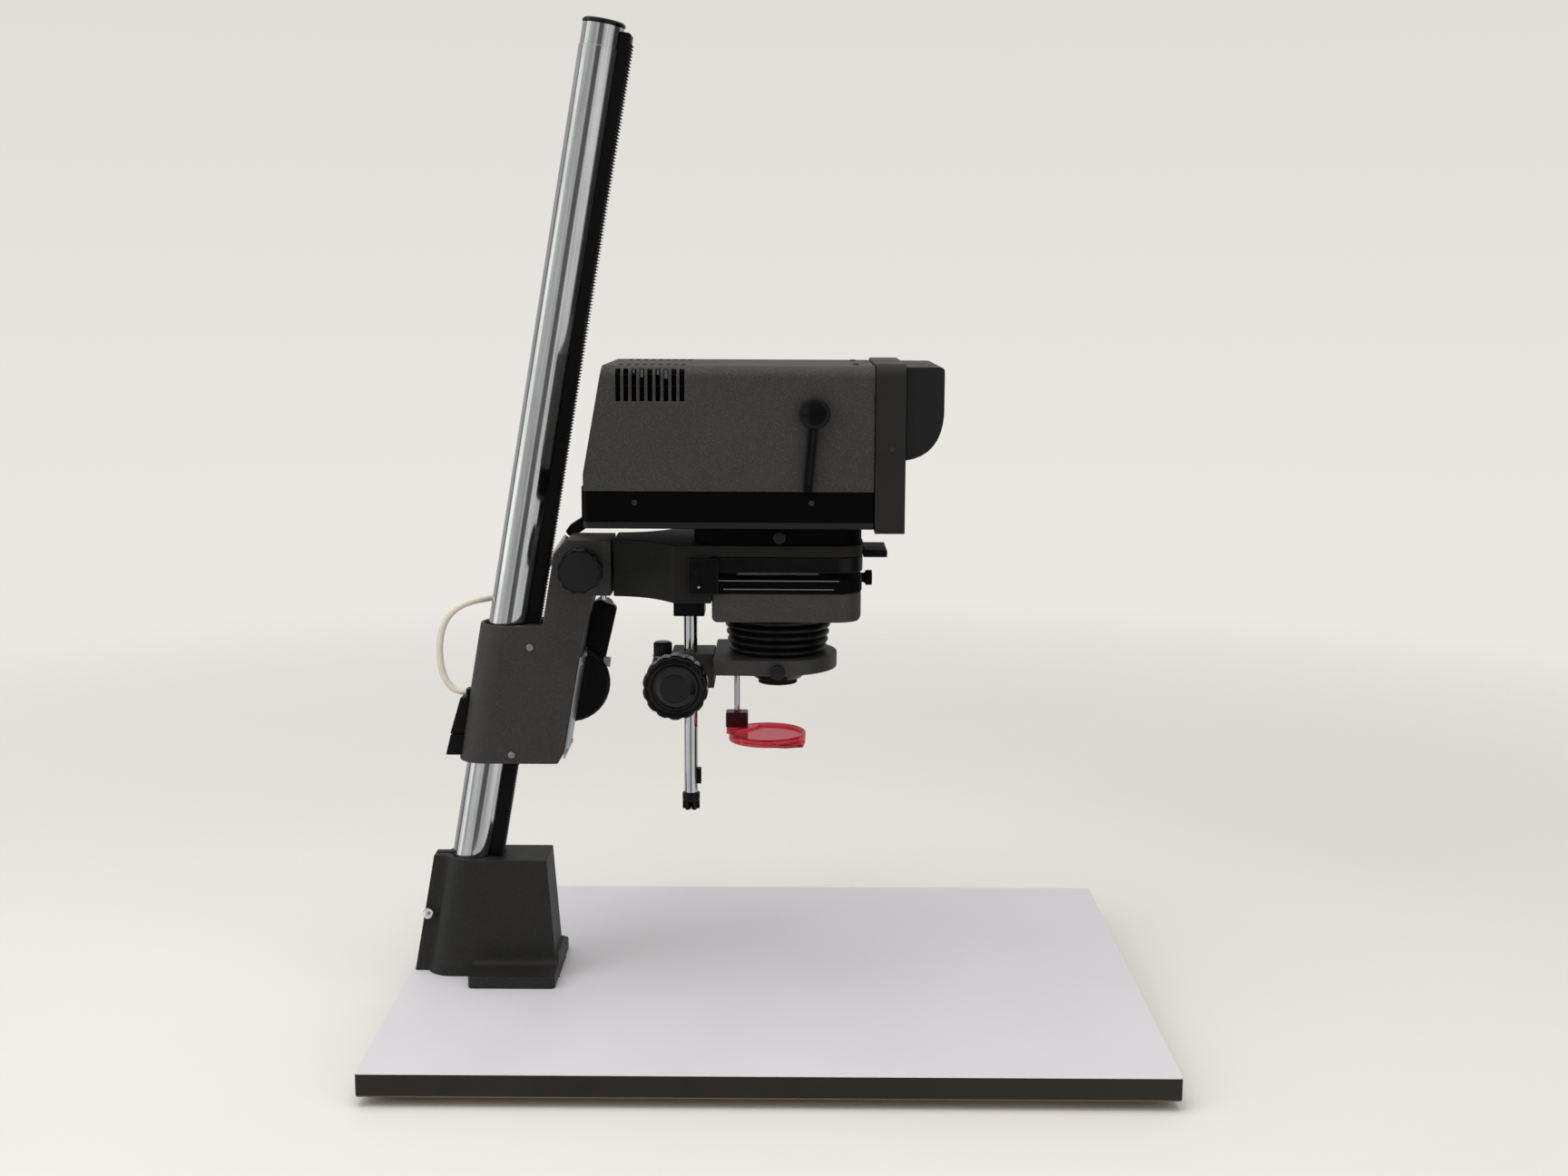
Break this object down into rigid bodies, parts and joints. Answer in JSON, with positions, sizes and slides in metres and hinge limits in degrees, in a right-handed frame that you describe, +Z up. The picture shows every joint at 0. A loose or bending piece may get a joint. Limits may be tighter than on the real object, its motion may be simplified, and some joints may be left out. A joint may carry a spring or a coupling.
{
  "type": "photo enlarger",
  "caption": "Darkroom photo enlarger: baseboard, leaning rack column, crank-driven carriage, swinging head arm, negative stage, bellows lens stage and lamphouse with red filter.",
  "frame": {"origin": "centre of the plane the four rubber feet stand on, under the middle of the baseboard", "axes": "+Z up; +X towards the lens side, away from the column; +Y towards the crank side"},
  "size_m": [0.6, 0.43, 0.7949],
  "materials": {
    "laminate": "smooth satin laminate on board, black edging",
    "rubber": "matt",
    "textured_paint": "fine wrinkle texture, satin",
    "foot_paint": "fine sand texture, satin",
    "black_plastic": "satin gloss",
    "matt_black": "matt",
    "chrome": "polished",
    "steel": "brushed",
    "brass": "machined",
    "nylon": "smooth",
    "cream_lead": "smooth",
    "bellows_cloth": "coated cloth",
    "red_acrylic": "clear red",
    "dark_red": "gloss",
    "clear_glass": "polished",
    "opal": "opal",
    "white_plastic": "matt",
    "reflector": "bright",
    "dial_yellow": "satin",
    "dial_magenta": "satin",
    "dial_cyan": "satin"
  },
  "bodies": {
    "base": {"baseboard": "laminate", "board_foot_1": "rubber", "board_foot_2": "rubber", "board_foot_3": "rubber", "board_foot_4": "rubber", "column_foot": "foot_paint", "foot_clamp_bolt": "chrome", "column_tube": "chrome", "column_rack": "matt_black", "column_cap": "black_plastic"},
    "carriage": {"carriage_housing": "textured_paint", "carriage_front_plate": "steel", "guide_bush_lower": "nylon", "guide_bush_upper": "nylon", "cable_socket": "black_plastic", "lead_plug": "black_plastic", "lamp_lead": "cream_lead"},
    "index_pin": {"index_pin": "chrome"},
    "clamp_knob": {"tilt_clamp_knob": "black_plastic"},
    "pinion": {"drive_pinion": "brass"},
    "crank": {"crank_shaft_gear": "steel", "crank_arm": "black_plastic"},
    "grip": {"crank_grip": "black_plastic"},
    "head": {"head_arm": "textured_paint", "upper_carrier_frame": "matt_black", "lower_stage": "textured_paint", "stage_latch": "black_plastic", "focus_rail": "chrome", "rail_collar": "textured_paint", "rail_end_cap": "black_plastic", "bellows": "bellows_cloth"},
    "lever": {"lift_lever": "matt_black"},
    "carrier": {"negative_carrier": "black_plastic"},
    "lens_stage": {"focus_block": "black_plastic", "lens_plate": "textured_paint", "lens_barrel": "matt_black", "lens_glass": "clear_glass", "filter_rod": "chrome"},
    "aperture": {"aperture_ring": "matt_black"},
    "set_screw": {"lens_set_screw": "black_plastic"},
    "focus_knob": {"focus_knob": "black_plastic"},
    "focus_lock": {"focus_lock_knob": "black_plastic"},
    "red_filter": {"filter_bracket": "dark_red", "red_filter": "red_acrylic"},
    "lamphouse": {"seat_ring": "matt_black", "lamphouse_base": "matt_black", "lamphouse_cover": "textured_paint", "front_bezel": "matt_black", "dial_hood": "matt_black", "dial_axle": "steel", "mixing_box": "white_plastic", "diffuser": "opal", "lamp": "reflector", "lamp_socket": "white_plastic", "lead_connector": "black_plastic"},
    "seat_lock": {"seat_lock_knob": "black_plastic"},
    "filter_lever": {"filter_lever": "black_plastic"},
    "yellow_dial": {"dial_yellow": "dial_yellow"},
    "magenta_dial": {"dial_magenta": "dial_magenta"},
    "cyan_dial": {"dial_cyan": "dial_cyan"}
  },
  "joints": [
    {"name": "carriage_slide", "type": "slide", "parent": "base", "child": "carriage", "axis": [0.1714, 0, 0.9852], "range_m": [-0.0691, 0.4285]},
    {"name": "pinion_spin", "type": "hinge", "parent": "carriage", "child": "pinion", "pos_m": [-0.18563, 0, 0.26718], "axis": [0, 1, 0], "range_deg": [-1930, 320]},
    {"name": "crank_spin", "type": "hinge", "parent": "carriage", "child": "crank", "pos_m": [-0.16869, 0, 0.26423], "axis": [0, 1, 0], "range_deg": [-910, 5590]},
    {"name": "crank_grip_spin", "type": "hinge", "parent": "crank", "child": "grip", "pos_m": [-0.14367, 0.0544, 0.32151], "axis": [0, 1, 0], "continuous": true},
    {"name": "clamp_knob_turn", "type": "hinge", "parent": "carriage", "child": "clamp_knob", "pos_m": [-0.152, -0.034, 0.368], "axis": [0, 1, 0], "range_deg": [0, 270]},
    {"name": "index_pin_pull", "type": "slide", "parent": "carriage", "child": "index_pin", "axis": [0, 0, -1], "range_m": [0, 0.004], "stiffness_N_per_m": 400, "springref_m": -0.002},
    {"name": "head_swing", "type": "hinge", "parent": "carriage", "child": "head", "pos_m": [-0.127, 0, 0.368], "axis": [-1, 0, 0], "range_deg": [-20, 40], "deforming": ["lamp_lead"]},
    {"name": "lens_focus", "type": "slide", "parent": "head", "child": "lens_stage", "axis": [0, 0, -1], "range_m": [-0.012, 0.06], "deforming": ["bellows"]},
    {"name": "focus_knob_turn", "type": "hinge", "parent": "lens_stage", "child": "focus_knob", "pos_m": [-0.076, 0, 0.278], "axis": [0, 1, 0], "range_deg": [-1020, 210]},
    {"name": "focus_lock_turn", "type": "hinge", "parent": "lens_stage", "child": "focus_lock", "pos_m": [-0.0895, 0, 0.298], "axis": [0, 0, 1], "range_deg": [0, 270]},
    {"name": "set_screw_turn", "type": "hinge", "parent": "lens_stage", "child": "set_screw", "pos_m": [0.0042, -0.052, 0.29], "axis": [0, 1, 0], "range_deg": [0, 360]},
    {"name": "aperture_turn", "type": "hinge", "parent": "lens_stage", "child": "aperture", "pos_m": [0.0042, 0, 0.275], "axis": [0, 0, 1], "range_deg": [0, 110]},
    {"name": "red_filter_swing", "type": "hinge", "parent": "lens_stage", "child": "red_filter", "pos_m": [-0.0295, 0.016, 0.23], "axis": [0, 0, 1], "range_deg": [-35, 120]},
    {"name": "carrier_slide", "type": "slide", "parent": "head", "child": "carrier", "axis": [1, 0, 0], "range_m": [0, 0.12]},
    {"name": "lamphouse_lift", "type": "slide", "parent": "head", "child": "lamphouse", "axis": [0, 0, 1], "range_m": [0, 0.005]},
    {"name": "lift_lever_turn", "type": "hinge", "parent": "head", "child": "lever", "pos_m": [0.064, 0, 0.383], "axis": [0, 1, 0], "range_deg": [0, 15.1]},
    {"name": "seat_lock_turn", "type": "hinge", "parent": "lamphouse", "child": "seat_lock", "pos_m": [0.0055, -0.057, 0.398], "axis": [0, 1, 0], "range_deg": [0, 360]},
    {"name": "filter_lever_turn", "type": "hinge", "parent": "lamphouse", "child": "filter_lever", "pos_m": [0.032, -0.076, 0.495], "axis": [0, 1, 0], "range_deg": [0, 70]},
    {"name": "yellow_dial_turn", "type": "hinge", "parent": "lamphouse", "child": "yellow_dial", "pos_m": [0.1045, -0.032, 0.495], "axis": [0, 1, 0], "range_deg": [0, 270]},
    {"name": "magenta_dial_turn", "type": "hinge", "parent": "lamphouse", "child": "magenta_dial", "pos_m": [0.1045, 0, 0.495], "axis": [0, 1, 0], "range_deg": [0, 270]},
    {"name": "cyan_dial_turn", "type": "hinge", "parent": "lamphouse", "child": "cyan_dial", "pos_m": [0.1045, 0.032, 0.495], "axis": [0, 1, 0], "range_deg": [0, 270]}
  ],
  "couplings": [
    {"joint": "pinion_spin", "follows": "carriage_slide", "rad_per_m": -78.125},
    {"joint": "crank_spin", "follows": "carriage_slide", "rad_per_m": 227.27},
    {"joint": "focus_knob_turn", "follows": "lens_focus", "rad_per_m": -294.12},
    {"joint": "lift_lever_turn", "follows": "lamphouse_lift", "rad_per_m": 52.36}
  ]
}
